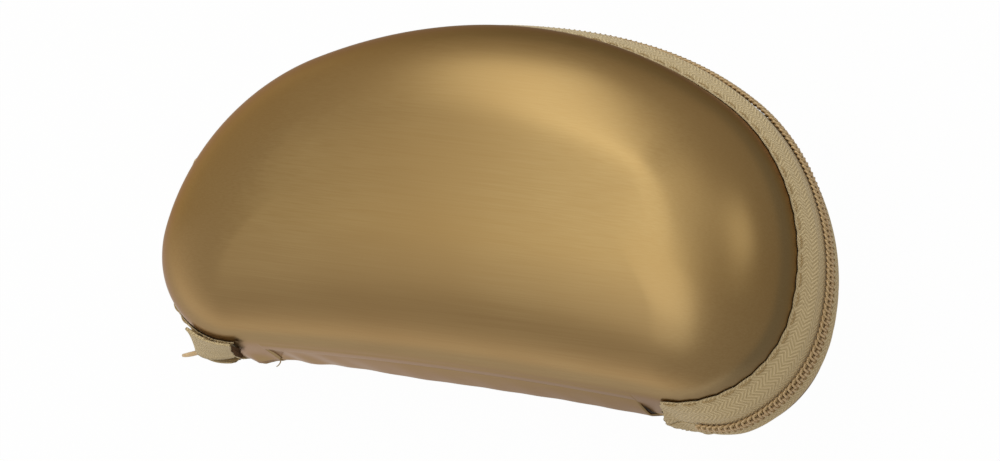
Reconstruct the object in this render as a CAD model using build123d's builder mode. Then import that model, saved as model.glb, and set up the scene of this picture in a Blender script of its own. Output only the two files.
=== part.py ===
from build123d import *
import os
from math import acos, asin, atan2, cos, degrees, radians, sin

# A half-moon hard case: two moulded halves joined by a hinge strip and a coil zipper.
#
# The case lies on the flat of its base. X runs along the hinge, +Y points from the hinge
# to the curved side that unzips, and +Z points up. The origin is the middle of the flat
# that the case rests on. The halves mirror each other about the parting plane. All sizes
# are in millimetres and degrees.

# Shells: moulded foam with cloth bonded to both faces
shell_length = 161.4  # along the hinge, outside
shell_width = 83.0  # from the hinge wall to the middle of the curved side
half_depth = 30.0  # from the parting plane to the outside of either face
corner_radius = 24.3  # plan radius of the two corners beside the hinge
side_radius = 51.7  # plan radius of the two sides that follow them
hinge_bow = 1.5  # how far the hinge wall curves in at its middle
shoulder_start = 8.0  # height of the upright wall before it rolls over
shoulder_run = 32.0  # how far in the shoulder's ellipse would reach
face_inset = 22.0  # where the flat face cuts that ellipse off
shell_thickness = 4.4
rim_gap = 1.0  # between the two rims when closed
shoulder_bands = 3  # cones that the outside of the shoulder is rolled in
hollow_bands = 2  # and the inside

# Hinge strip: a skin outside and a lining inside, across the notch in both rims
strip_length = 97.6  # between the ends of the notch
skin_thickness = 0.6
lining_thickness = 0.6
strip_ply_gap = 0.05
crease_height = 9.0  # from the parting plane to the crease, on each half
crease_inset = 1.7  # outside of the strip at the crease, from the hinge line
fold_inset = 0.5  # the same at the fold, which stands a little prouder
slit_width = 0.4  # between the strip and the shell, at each end and each crease
cut_spare = 1.0  # how far a cut runs past what it opens

# Zipper tapes
tape_thickness = 0.6
tape_edge_height = 9.2  # sewn edge, above the parting plane
tape_flat_height = 4.5  # top of the upright band that the slider runs on
tape_parting = 0.35  # inner edge, from the parting plane
tape_standoff = 2.1  # how far the upright band stands off the shell
tape_clearance = 0.05
end_standoff = 0.1  # the same where the ends lie on the corners
end_flat_angle = 6.0  # stretch at each end that lies down, past its tip
end_rise_angle = 40.0  # where the tape has reached its full standoff
end_sections = 5
tail_start_angle = 1.0  # folded-back end of each tape, on the left corner
tail_angle = 20.0
tail_height = 6.4
tail_clearance = 0.05

# Zipper coils: one row of loops on each tape, meshed across the parting plane
coil_pitch = 1.36
loop_width = 0.5  # along the row
loop_height = 1.6  # above the tape
loop_reach = 2.4  # heel of a loop, from the parting plane
loop_mesh = 0.8  # how far its head passes the parting plane
loop_crest = 0.4  # top of a loop, from the parting plane on its own side
coil_start_angle = 9.0  # first loop, past the tip of the tape
coil_clearance = 0.05  # between a loop and the tape that it is sewn to

# Stitches that hold the tapes to the shells
stitch_pitch = 4.4
stitch_length = 2.8
stitch_width = 0.6
stitch_proud = 0.35
stitch_margin = 0.9  # from the sewn edge of the tape to the row
stitch_clearance = 0.03

# Slider and pull
slider_angle = 173.4  # rest place on the left side's arc
slider_length = 12.5
slider_width = 8.2
slider_waist = 7.0  # width behind its shoulders
slider_nose = 5.2  # width across its nose
slider_shoulder = 3.4  # length of its widest stretch
slider_rounding = 0.7
plate_thickness = 1.1
flange_thickness = 0.9
slider_clearance = 0.12  # to the back of the tape and to the top of the coil
flange_clearance = 0.12  # from a flange down to the tape
wedge_length = 3.4  # parts the two rows at the nose
wedge_width = 2.6
wedge_front = 1.1  # from its blunt front to where it is widest
wedge_front_width = 1.3
post_thickness = 0.5  # where the wedge passes between the tapes
post_length = 1.7
bridge_length = 9.0
bridge_width = 2.0
bridge_thickness = 1.1
bridge_foot = 1.5  # length of the bridge that stands on the slider, at each end
bridge_opening = 1.3  # height of the hole that the pull hangs in
bridge_rounding = 0.9
pull_length = 15.0  # from its pivot to its tip
pull_width = 6.2
pull_tip_width = 4.6
pull_thickness = 1.0
pull_rounding = 1.2
eye_clearance = 0.3  # each side of the bridge
eye_end_clearance = 0.5  # beyond the foot of the bridge

# Worked out from the sizes above
hinge_line = -shell_width / 2
parting = Plane.XY.offset(half_depth)
face_angle = degrees(acos(1 - face_inset / shoulder_run))
shoulder_rise = (half_depth - shoulder_start) / sin(radians(face_angle))
tape_back = tape_clearance + tape_standoff
tape_face = tape_back + tape_thickness
coil_top = tape_face + loop_height
chord_sag = side_radius + tape_back - ((side_radius + tape_back) ** 2 - slider_length**2 / 4) ** 0.5
back_plate = tape_back - chord_sag - slider_clearance - plate_thickness
front_plate = coil_top + slider_clearance
bridge_base = front_plate + plate_thickness
pivot_height = bridge_base + bridge_opening / 2
slider_half_angle = degrees(slider_length / 2 / (side_radius + tape_face))


def plan_arcs():
    """Arcs of the half-moon plan, anticlockwise from the right end of the hinge wall.

    Each is (centre x, centre y, radius, start angle, end angle). The sides start upright,
    the long front arc is tangent to both of them, and the hinge wall bows in.
    """
    corner_x = shell_length / 2 - corner_radius
    side_x = shell_length / 2 - side_radius
    centre_y = hinge_line + corner_radius
    slack = shell_width / 2 - centre_y - side_radius
    drop = (side_x**2 - slack**2) / (2 * slack)
    turn = degrees(atan2(drop, side_x))
    bow_radius = (corner_x**2 / hinge_bow + hinge_bow) / 2 - corner_radius
    lean = degrees(asin(corner_x / (bow_radius + corner_radius)))
    return [
        (corner_x, centre_y, corner_radius, -90 - lean, 0),
        (side_x, centre_y, side_radius, 0, turn),
        (0, centre_y - drop, slack + drop + side_radius, turn, 180 - turn),
        (-side_x, centre_y, side_radius, 180 - turn, 180),
        (-corner_x, centre_y, corner_radius, 180, 270 + lean),
        (0, hinge_line + hinge_bow - bow_radius, bow_radius, 90 + lean, 90 - lean),
    ]


ARCS = plan_arcs()
RIGHT_CORNER, LEFT_SIDE, LEFT_CORNER = ARCS[0], ARCS[3], ARCS[4]


def bowl(offset, bands):
    """One half's moulded form, shrunk by the offset, its shoulder rolled in cones."""
    wall_top = half_depth + shoulder_start
    levels = [(offset, half_depth + rim_gap / 2), (offset, wall_top)]
    for band in range(1, bands + 1):
        angle = radians(face_angle * band / bands)
        inset = shoulder_run - (shoulder_run - offset) * cos(angle)
        levels.append((inset, wall_top + (shoulder_rise - offset) * sin(angle)))
    with BuildPart() as form:
        for inset, height in levels:
            with BuildSketch(Plane.XY.offset(height)):
                with BuildLine():
                    for x, y, radius, start, end in ARCS:
                        grown = radius + inset if start > end else radius - inset
                        CenterArc((x, y), grown, start, end - start)
                make_face()
        loft(ruled=True)
    return form.part


def hinge_sheet(outside, thickness):
    """A curved sheet across the notch, from one crease to the other, this far in."""
    crease = hinge_line + crease_inset + outside
    fold = hinge_line + fold_inset + outside
    low = half_depth - crease_height + slit_width
    high = half_depth + crease_height - slit_width
    with BuildPart() as sheet:
        with BuildSketch(Plane.YZ):
            with BuildLine():
                ThreePointArc((crease, low), (fold, half_depth), (crease, high))
                Line((crease, high), (crease + thickness, high))
                ThreePointArc(
                    (crease + thickness, high), (fold + thickness, half_depth), (crease + thickness, low)
                )
                Line((crease + thickness, low), (crease, low))
            make_face()
        extrude(amount=strip_length / 2 - slit_width, both=True)
    return sheet.part


def arc_plane(arc, angle, offset=0.0):
    """A plane across an arc of the plan: x outwards, y up, and z back along the arc."""
    x, y, radius = arc[:3]
    out = Vector(cos(radians(angle)), sin(radians(angle)), 0)
    origin = Vector(x, y, half_depth) + out * (radius + offset)
    return Plane(origin=origin, x_dir=out, z_dir=Vector(out.Y, -out.X, 0))


def arc_axis(arc):
    """The upright axis that an arc of the plan turns about."""
    return Axis((arc[0], arc[1], 0), (0, 0, 1))


def standoff_at(arc, angle):
    """How far the tape stands off the shell: it lies down onto the corners at its ends."""
    if arc not in (RIGHT_CORNER, LEFT_CORNER):
        return tape_standoff
    past_tip = angle + 90 if arc is RIGHT_CORNER else 270 - angle
    share = (past_tip - end_flat_angle) / (end_rise_angle - end_flat_angle)
    share = min(max(share, 0), 1)
    return end_standoff + (tape_standoff - end_standoff) * share * share * (3 - 2 * share)


def places(pitch, first_angle, last_arc, last_angle, share=1.0, shift=0.0):
    """Planes at an even pitch along the outside of the tape, from an angle on the right
    corner to one on the last arc, where the tape has this share of its standoff."""
    found = []
    spare = shift * pitch
    for arc in ARCS[: ARCS.index(last_arc) + 1]:
        radius = arc[2] + tape_clearance + tape_thickness + tape_standoff * share
        start = first_angle if arc is RIGHT_CORNER else arc[3]
        end = last_angle if arc is last_arc else arc[4]
        angle = start + degrees(spare / radius)
        while angle < end:
            standoff = standoff_at(arc, angle) * share
            found.append(arc_plane(arc, angle, tape_clearance + tape_thickness + standoff))
            angle += degrees(pitch / radius)
        spare = radians(angle - end) * radius
    return found


def tape_section(standoff, below=tape_edge_height, over=0.0):
    """Section of a tape, or of a layer over it, up from the parting plane to a height."""
    flat = tape_clearance + standoff + over
    slope = standoff / (tape_edge_height - tape_flat_height)
    top = flat - slope * (below - tape_flat_height)
    back = [(top, below), (flat, tape_flat_height), (flat, tape_parting)]
    front = [(out + tape_thickness, up) for out, up in reversed(back)]
    Polygon(*back, *front, align=None)


def tape_end(arc, tip, turn):
    """The stretch of tape that lies down onto a corner, from its tip."""
    rise = end_rise_angle - end_flat_angle
    steps = [end_flat_angle + rise * step / end_sections for step in range(end_sections + 1)]
    with BuildPart() as stretch:
        for past_tip in [0] + steps:
            angle = tip + turn * past_tip
            with BuildSketch(arc_plane(arc, angle)):
                tape_section(standoff_at(arc, angle))
        loft(ruled=True)
    return stretch.part


def coil(last_angle, shift):
    """A row of separate loops: each rises from its heel to a crest, and its head passes the
    parting plane."""
    first_angle = -90 + coil_start_angle
    loops = places(coil_pitch, first_angle, LEFT_SIDE, last_angle, shift=shift)
    with BuildPart() as row:
        with BuildSketch(*loops):
            Polygon(
                (coil_clearance, loop_reach),
                (loop_height, loop_crest),
                (coil_clearance, -loop_mesh),
                align=None,
            )
        extrude(amount=loop_width / 2, both=True)
    return row.part


def slider_plane(out):
    """A plane on the slider, this far out from the shell: its nose is +X, and up is +Y."""
    place = arc_plane(LEFT_SIDE, slider_angle, out)
    return Plane(origin=place.origin, x_dir=-place.z_dir, z_dir=place.x_dir)


def slider_outline():
    """The slider seen from outside: a shield with a blunt nose and a narrower waist."""
    front = slider_length / 2
    shoulder = front - slider_shoulder / 2
    upper = [
        (-front, slider_waist / 2),
        (0, slider_waist / 2),
        (shoulder - slider_shoulder / 2, slider_width / 2),
        (shoulder, slider_width / 2),
        (front, slider_nose / 2),
    ]
    lower = [(along, -across) for along, across in reversed(upper)]
    with BuildSketch(mode=Mode.PRIVATE) as shield:
        Polygon(*upper, *lower, align=None)
        fillet(shield.vertices(), slider_rounding)
    return shield.sketch


# Shells: a bowl hollowed by a smaller one, its rim notched for the hinge strip
with BuildPart() as lid_shell:
    add(bowl(0, shoulder_bands))
    add(bowl(shell_thickness, hollow_bands), mode=Mode.SUBTRACT)
    with BuildSketch(parting):
        with Locations((0, hinge_line)):
            Rectangle(strip_length, 2 * (hinge_bow + shell_thickness + cut_spare))
    extrude(amount=crease_height, mode=Mode.SUBTRACT)

with BuildPart() as base_shell:
    mirror(lid_shell.part, about=parting)

# Hinge strip: both plies bend at the fold and at the two creases
with BuildPart() as hinge_skin:
    add(hinge_sheet(0, skin_thickness))

with BuildPart() as hinge_lining:
    add(hinge_sheet(skin_thickness + strip_ply_gap, lining_thickness))

# Tapes: an upright band round the side, whose two ends lie down onto the corners
with BuildPart() as lid_tape:
    for arc in ARCS[:5]:
        start = -90 + end_rise_angle if arc is RIGHT_CORNER else arc[3]
        end = 270 - end_rise_angle if arc is LEFT_CORNER else arc[4]
        with BuildSketch(arc_plane(arc, start)):
            tape_section(tape_standoff)
        revolve(axis=arc_axis(arc), revolution_arc=end - start)
    add(tape_end(RIGHT_CORNER, -90, 1))
    add(tape_end(LEFT_CORNER, 270, -1))

with BuildPart() as base_tape:
    mirror(lid_tape.part, about=parting)

# Tails: the left end of each tape is folded back over itself
with BuildPart() as lid_tape_tail:
    for step in range(end_sections):
        angle = 270 - tail_start_angle - tail_angle * step / (end_sections - 1)
        with BuildSketch(arc_plane(LEFT_CORNER, angle)):
            over = tape_thickness + tail_clearance
            tape_section(standoff_at(LEFT_CORNER, angle), tail_height, over)
    loft(ruled=True)

with BuildPart() as base_tape_tail:
    mirror(lid_tape_tail.part, about=parting)

# Stitches: a row along the sewn edge of each tape, a straight thread to each stitch
with BuildPart() as lid_stitching:
    share = stitch_margin / (tape_edge_height - tape_flat_height)
    first_angle = -90 + degrees(stitch_length / corner_radius)
    last_angle = 180 - first_angle
    lean = share * tape_standoff / stitch_margin * stitch_width / 2
    row = tape_edge_height - stitch_margin
    with BuildSketch(*places(stitch_pitch, first_angle, LEFT_CORNER, last_angle, share)):
        Polygon(
            (stitch_clearance + lean, row - stitch_width / 2),
            (stitch_proud, row),
            (stitch_clearance, row + stitch_width / 2),
            align=None,
        )
    extrude(amount=stitch_length / 2, both=True)

with BuildPart() as base_stitching:
    mirror(lid_stitching.part, about=parting)

# Coils: the lid's row stops short of the slider, and the base's runs into it
with BuildPart() as lid_coil:
    add(coil(slider_angle - slider_half_angle, 0))

with BuildPart() as base_coil:
    mirror(coil(slider_angle, 0.5), about=parting)

# Slider: two plates either side of the tapes, joined by a wedge between the two rows,
# with flanges down the front plate's sides that keep the rows in
with BuildPart() as slider_body:
    with BuildSketch(slider_plane(back_plate)):
        add(slider_outline())
    extrude(amount=plate_thickness)
    with BuildSketch(slider_plane(front_plate)):
        add(slider_outline())
    extrude(amount=plate_thickness)
    with BuildSketch(slider_plane(tape_face + flange_clearance)):
        add(slider_outline())
        Rectangle(slider_length + cut_spare, slider_waist - 2 * flange_thickness, mode=Mode.SUBTRACT)
    extrude(amount=front_plate - tape_face - flange_clearance)
    with BuildSketch(slider_plane(tape_face + flange_clearance)):
        nose = slider_length / 2 - slider_rounding
        Polygon(
            (nose - wedge_length, 0),
            (nose - wedge_front, wedge_width / 2),
            (nose, wedge_front_width / 2),
            (nose, -wedge_front_width / 2),
            (nose - wedge_front, -wedge_width / 2),
            align=None,
        )
    extrude(amount=front_plate - tape_face - flange_clearance)
    with BuildSketch(slider_plane(back_plate + plate_thickness)):
        with Locations((nose - wedge_front, 0)):
            Rectangle(post_length, post_thickness)
    extrude(amount=tape_face + flange_clearance - back_plate - plate_thickness)

# Bridge: an arch along the slider, for the pull to hang in
along_slider = slider_plane(0)
side_view = Plane(origin=along_slider.origin, x_dir=along_slider.x_dir, z_dir=(0, 0, -1))
with BuildPart() as slider_bridge:
    with BuildSketch(side_view):
        with Locations((0, bridge_base)):
            height = bridge_opening + bridge_thickness
            Rectangle(bridge_length, height, align=(Align.CENTER, Align.MIN))
            hole_length = bridge_length - 2 * bridge_foot
            Rectangle(hole_length, bridge_opening, align=(Align.CENTER, Align.MIN), mode=Mode.SUBTRACT)
        fillet(vertices().group_by(Axis.Y)[-1], bridge_rounding)
    extrude(amount=bridge_width / 2, both=True)

# Pull: a flat tab with an eye, whose round bar passes under the bridge
with BuildPart() as pull_tab:
    with BuildSketch(slider_plane(pivot_height - pull_thickness / 2)):
        Polygon(
            (0, pull_width / 2),
            (-pull_length, pull_tip_width / 2),
            (-pull_length, -pull_tip_width / 2),
            (0, -pull_width / 2),
            align=None,
        )
        fillet(vertices().group_by(Axis.X)[0], pull_rounding)
        eye = bridge_length / 2 + eye_end_clearance
        Rectangle(
            eye, bridge_width + 2 * eye_clearance, align=(Align.MAX, Align.CENTER), mode=Mode.SUBTRACT
        )
    extrude(amount=pull_thickness)
    with BuildSketch(Plane(origin=slider_plane(pivot_height).origin, z_dir=(0, 0, 1))):
        Circle(pull_thickness / 2)
    extrude(amount=bridge_width / 2 + eye_clearance, both=True)

os.makedirs("parts", exist_ok=True)
PIECES = {
    "lid_shell": lid_shell,
    "lid_tape": lid_tape,
    "lid_tape_tail": lid_tape_tail,
    "lid_stitching": lid_stitching,
    "lid_coil": lid_coil,
    "base_shell": base_shell,
    "base_tape": base_tape,
    "base_tape_tail": base_tape_tail,
    "base_stitching": base_stitching,
    "base_coil": base_coil,
    "hinge_skin": hinge_skin,
    "hinge_lining": hinge_lining,
    "slider_body": slider_body,
    "slider_bridge": slider_bridge,
    "pull_tab": pull_tab,
}
for name, piece in PIECES.items():
    piece.part.label = name
    export_step(piece.part, f"parts/{name}.step")
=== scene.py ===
import logging
import math
from dataclasses import dataclass
from enum import Enum

import bpy
import numpy as np
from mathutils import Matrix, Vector


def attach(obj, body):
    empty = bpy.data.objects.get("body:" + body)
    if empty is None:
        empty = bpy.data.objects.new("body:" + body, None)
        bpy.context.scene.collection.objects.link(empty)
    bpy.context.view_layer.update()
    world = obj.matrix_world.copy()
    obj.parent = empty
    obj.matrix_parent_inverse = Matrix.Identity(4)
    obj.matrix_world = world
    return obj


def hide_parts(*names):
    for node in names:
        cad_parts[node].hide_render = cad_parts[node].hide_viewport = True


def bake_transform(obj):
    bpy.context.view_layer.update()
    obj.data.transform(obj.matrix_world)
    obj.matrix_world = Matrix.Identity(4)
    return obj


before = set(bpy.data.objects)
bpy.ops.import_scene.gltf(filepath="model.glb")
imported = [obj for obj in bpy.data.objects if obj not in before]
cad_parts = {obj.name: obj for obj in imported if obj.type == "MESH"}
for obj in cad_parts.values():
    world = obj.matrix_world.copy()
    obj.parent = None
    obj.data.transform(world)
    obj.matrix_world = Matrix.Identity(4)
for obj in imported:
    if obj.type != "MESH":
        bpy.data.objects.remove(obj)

# Looks of a half-moon zip case: satin gold skin over moulded foam, a fabric hinge strip, a
# herringbone zipper tape with a nylon coil, and a plated slider. Lengths are in metres.

MM = 0.001
PARTING = 0.030  # height of the plane where the two halves meet
LOG = logging.getLogger("zip_case")

Material = bpy.types.Material
Tree = bpy.types.NodeTree
Socket = bpy.types.NodeSocket
Pair = tuple[float, float]
Triple = tuple[float, float, float]


class Half(Enum):
    """The two moulded halves, each with the name of its moving body."""

    LID = "lid"
    BASE = "base"


# ---------------------------------------------------------------------------------------
# Meshes


def ring_faces(rows: int, columns: int) -> np.ndarray:
    """Quads between each ring of points and the next, where every ring closes on itself.

    Args:
        rows: number of rings.
        columns: number of points in a ring.

    Returns:
        One row of four point numbers for each quad.
    """
    ring, here = np.arange(rows - 1)[:, None] * columns, np.arange(columns)
    there = (here + 1) % columns
    corners = (ring + here, ring + there, ring + columns + there, ring + columns + here)
    return np.stack(corners, -1).reshape(-1, 4)


def closed_stack(rings: np.ndarray) -> tuple[np.ndarray, list]:
    """A closed surface: quads between rings, and at each end a fan to the ring's middle.

    Args:
        rings: (rows, columns, 3) points, where each ring wraps.

    Returns:
        Its points and faces.
    """
    rows, columns = rings.shape[:2]
    here = np.arange(columns)
    there = (here + 1) % columns
    first, last = np.full((2, columns), [[rows * columns], [rows * columns + 1]])
    low = (rows - 1) * columns
    faces = ring_faces(rows, columns).tolist()
    faces += np.stack([there, here, first], -1).tolist()
    faces += np.stack([low + here, low + there, last], -1).tolist()
    poles = [rings[k].mean(0) for k in (0, -1)]
    return np.concatenate([rings.reshape(-1, 3), poles]), faces


def capped_tubes(rings: np.ndarray) -> tuple[np.ndarray, list]:
    """Closed tubes from rows of section loops, with a flat cap at both ends of each.

    Args:
        rings: (rows, columns, 3) points of one tube, or (tubes, rows, columns, 3) of many.

    Returns:
        Their points and faces.
    """
    rows, columns = rings.shape[-3:-1]
    tubes = rings.reshape(-1, rows * columns, 3)
    begins = np.arange(len(tubes))[:, None, None] * rows * columns
    loop = np.arange(columns)
    quads = ring_faces(rows, columns) + begins
    caps = np.stack([loop[::-1], (rows - 1) * columns + loop]) + begins
    faces = []
    for sides, ends in zip(quads.tolist(), caps.tolist()):
        faces += sides + ends
    return tubes.reshape(-1, 3), faces


def tube_along(
    path: np.ndarray, radius: float | np.ndarray, sides: int, lift: Triple | np.ndarray
) -> np.ndarray:
    """Rings of round threads: each is a circle across its path's direction.

    Args:
        path: (..., n, 3) centre lines.
        radius: of the thread, everywhere or at each of the n points.
        sides: points in a ring.
        lift: a direction that no path takes, for all or one for each point.

    Returns:
        (..., n, sides, 3) points.
    """
    along = np.gradient(path, axis=-2)
    along /= np.linalg.norm(along, axis=-1, keepdims=True)
    across = np.cross(along, lift)
    across /= np.linalg.norm(across, axis=-1, keepdims=True)
    up = np.cross(across, along)
    turn = np.linspace(0, 2 * np.pi, sides, endpoint=False)[:, None]
    ring = np.cos(turn) * across[..., None, :] + np.sin(turn) * up[..., None, :]
    return path[..., None, :] + np.broadcast_to(radius, path.shape[:-1])[..., None, None] * ring


def thickened(sheet: np.ndarray, thickness: float) -> tuple[np.ndarray, list]:
    """A closed sheet from its middle surface, moved half its thickness each way.

    Args:
        sheet: (rows, columns, 3) points of the middle surface.
        thickness: of the cloth.

    Returns:
        Its points and faces.
    """
    normal = np.cross(np.gradient(sheet, axis=0), np.gradient(sheet, axis=1))
    normal /= np.linalg.norm(normal, axis=-1)[..., None]
    half = normal * thickness / 2
    return capped_tubes(np.concatenate([sheet + half, (sheet - half)[:, ::-1]], 1))


def smooth(t: np.ndarray) -> np.ndarray:
    """Rises from 0 to 1 as t does, level at both ends: t * t * (3 - 2 t)."""
    t = np.clip(t, 0, 1)
    return t * t * (3 - 2 * t)


def make_piece(
    name: str,
    points: np.ndarray,
    faces: list[list[int]],
    material: Material,
    uv: np.ndarray | None = None,
) -> bpy.types.Object:
    """Makes a smooth-shaded piece at the origin, in its one finish.

    Args:
        name: name of the piece.
        points: (n, 3) places in the shared frame.
        faces: point numbers of each face.
        material: its finish.
        uv: (n, 2) surface distances in metres, for a pattern that follows the surface.

    Returns:
        The new object, with its faces turned outwards.
    """
    mesh = bpy.data.meshes.new(name)
    mesh.from_pydata(points.reshape(-1, 3).tolist(), [], faces)
    if uv is not None:
        layer = mesh.uv_layers.new(name="surface")
        corner = np.empty(len(mesh.loops), np.int32)
        mesh.loops.foreach_get("vertex_index", corner)
        layer.data.foreach_set("uv", uv.reshape(-1, 2)[corner].astype(np.float32).ravel())
    mesh.polygons.foreach_set("use_smooth", np.ones(len(mesh.polygons), bool))
    mesh.update()
    turn_outwards(mesh)
    piece = bpy.data.objects.new(name, mesh)
    bpy.context.scene.collection.objects.link(piece)
    dress(piece, material)
    return piece


def turn_outwards(mesh: bpy.types.Mesh) -> None:
    """Flips a closed mesh whose signed volume, the sum of origin tetrahedra, is negative.

    Args:
        mesh: the closed mesh.
    """
    mesh.calc_loop_triangles()
    corners = np.empty(len(mesh.loop_triangles) * 3, np.int32)
    mesh.loop_triangles.foreach_get("vertices", corners)
    places = np.empty(len(mesh.vertices) * 3, np.float32)
    mesh.vertices.foreach_get("co", places)
    a, b, c = places.reshape(-1, 3)[corners.reshape(-1, 3)].transpose(1, 0, 2).astype(float)
    if np.einsum("ij,ij->", a, np.cross(b, c)) < 0:
        mesh.flip_normals()


def dress(piece: bpy.types.Object, material: Material) -> None:
    """Gives a piece its one material.

    Args:
        piece: the piece, made here or carried over from the CAD.
        material: its finish.
    """
    piece.data.materials.clear()
    piece.data.materials.append(material)


# ---------------------------------------------------------------------------------------
# Finishes


def linear(colour: str) -> tuple[float, float, float, float]:
    """Turns an sRGB hex colour into linear red, green, blue and alpha."""
    parts = [int(colour[i : i + 2], 16) / 255 for i in (1, 3, 5)]
    return (*(c / 12.92 if c <= 0.04045 else ((c + 0.055) / 1.055) ** 2.4 for c in parts), 1.0)


def add_node(
    tree: Tree, kind: str, inputs: dict | None = None, **settings: object
) -> bpy.types.Node:
    """Adds a node with its settings, and sets or links its inputs.

    Args:
        tree: where the node goes.
        kind: the node's type, without its "ShaderNode" prefix.
        inputs: input name or number to a value, or to the output socket that feeds it.
        settings: the node's own properties.

    Returns:
        The new node.
    """
    node = tree.nodes.new("ShaderNode" + kind)
    for name, value in settings.items():
        setattr(node, name, value)
    for key, value in (inputs or {}).items():
        if isinstance(value, Socket):
            tree.links.new(value, node.inputs[key])
        else:
            node.inputs[key].default_value = value
    return node


def new_material(name: str) -> tuple[Material, Tree]:
    """Makes a material with no nodes yet.

    Args:
        name: of the material.

    Returns:
        The material, and the tree for its nodes.
    """
    material = bpy.data.materials.new(name)
    material.use_nodes = True
    material.node_tree.nodes.clear()
    return material, material.node_tree


@dataclass(frozen=True)
class Finish:
    """What the finishes share: one or two tones over a fine relief."""

    name: str
    colour: str
    deep: str | None  # the darker tone, where it has one
    bump: Pair  # strength of the relief, and its depth

    def pattern(self, tree: Tree) -> tuple[Socket | None, Socket, dict]:
        """The finish's own nodes.

        Args:
            tree: where they go.

        Returns:
            The share of the lighter tone, the height of the relief, and the shader's inputs.
        """
        raise NotImplementedError

    def make(self) -> Material:
        """Builds the material.

        Returns:
            The material, with its pattern mixed into its colour and its normal.
        """
        material, tree = new_material(self.name)
        share, height, inputs = self.pattern(tree)
        colour = linear(self.colour)
        if share is not None:
            tones = {"Factor": share, 6: linear(self.deep), 7: colour}
            colour = add_node(tree, "Mix", tones, data_type="RGBA").outputs[2]
        strength, depth = self.bump
        bump = add_node(tree, "Bump", {"Height": height, "Strength": strength, "Distance": depth})
        inputs |= {"Base Color": colour, "Normal": bump.outputs[0]}
        shader = add_node(tree, "BsdfPrincipled", inputs)
        add_node(tree, "OutputMaterial", {"Surface": shader.outputs[0]})
        return material


@dataclass(frozen=True)
class SatinFilm(Finish):
    """Metallised polyurethane film, calendered with fine streaks along the case and bonded to
    foam: it shines like brushed metal, softly, with hair-fine lines along X. The streaks are
    drawn 0.3 mm wide, coarser than real ones, so that they show."""

    name: str = "metallised_polyurethane_film"
    colour: str = "#A38859"
    deep: str = "#9B7E4F"
    bump: Pair = (0.08, 0.02 * MM)
    edge_tint: str = "#CDA068"
    roughness: Pair = (0.29, 0.33)  # of the lowest and the highest streaks
    streak_length: float = 30 * MM
    streak_width: float = 0.3 * MM
    cloud: float = 45 * MM  # size of the slow changes of tone
    painted_sheen_side: Pair = (-36 * MM, -14 * MM)  # Y, between which the painted sheen fades from the hinge side
    coat_and_painted_sheen: Pair = (0.85, 0.3)  # painted sheen: the hinge side gets more clear coat than the rest, so it looks paler

    def pattern(self, tree: Tree) -> tuple[Socket, Socket, dict]:
        """The tone is the streaks times the clouds, and the streaks are the relief.

        Args:
            tree: where the nodes go.

        Returns:
            The share of the lighter tone, the height of the relief, and the shader's inputs.
        """
        place = add_node(tree, "TexCoord").outputs["Object"]
        fine = (1 / self.streak_length, 1 / self.streak_width, 1 / self.streak_width)
        drawn = add_node(tree, "Mapping", {"Vector": place, "Scale": fine}).outputs[0]
        streaks = add_node(tree, "TexNoise", {"Vector": drawn, "Scale": 1.0, "Detail": 3.0})
        coarse = {"Vector": place, "Scale": 1 / self.cloud, "Detail": 2.0}
        clouds = add_node(tree, "TexNoise", coarse).outputs[0]
        tone = add_node(tree, "Math", {0: streaks.outputs[0], 1: clouds}, operation="MULTIPLY")
        span = {"Value": tone.outputs[0], "From Min": 0.12, "From Max": 0.4}
        share = add_node(tree, "MapRange", span)
        span = {"Value": streaks.outputs[0], "From Min": 0.3, "From Max": 0.7}
        span |= {"To Min": self.roughness[0], "To Max": self.roughness[1]}
        rough = add_node(tree, "MapRange", span)
        # painted sheen: more clear coat towards the hinge side, by Y, so that it looks paler there
        across = add_node(tree, "SeparateXYZ", {0: place}).outputs["Y"]
        span = {"Value": across, "From Min": self.painted_sheen_side[0], "From Max": self.painted_sheen_side[1]}
        span |= {"To Min": self.coat_and_painted_sheen[0], "To Max": self.coat_and_painted_sheen[1]}
        coat_and_painted_sheen = add_node(tree, "MapRange", span)
        inputs = {
            "Metallic": 0.96,
            "Roughness": rough.outputs[0],
            "Specular Tint": linear(self.edge_tint),
            "Coat Weight": coat_and_painted_sheen.outputs[0],
            "Coat Roughness": 0.3,
        }
        return share.outputs[0], streaks.outputs[0], inputs


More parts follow.
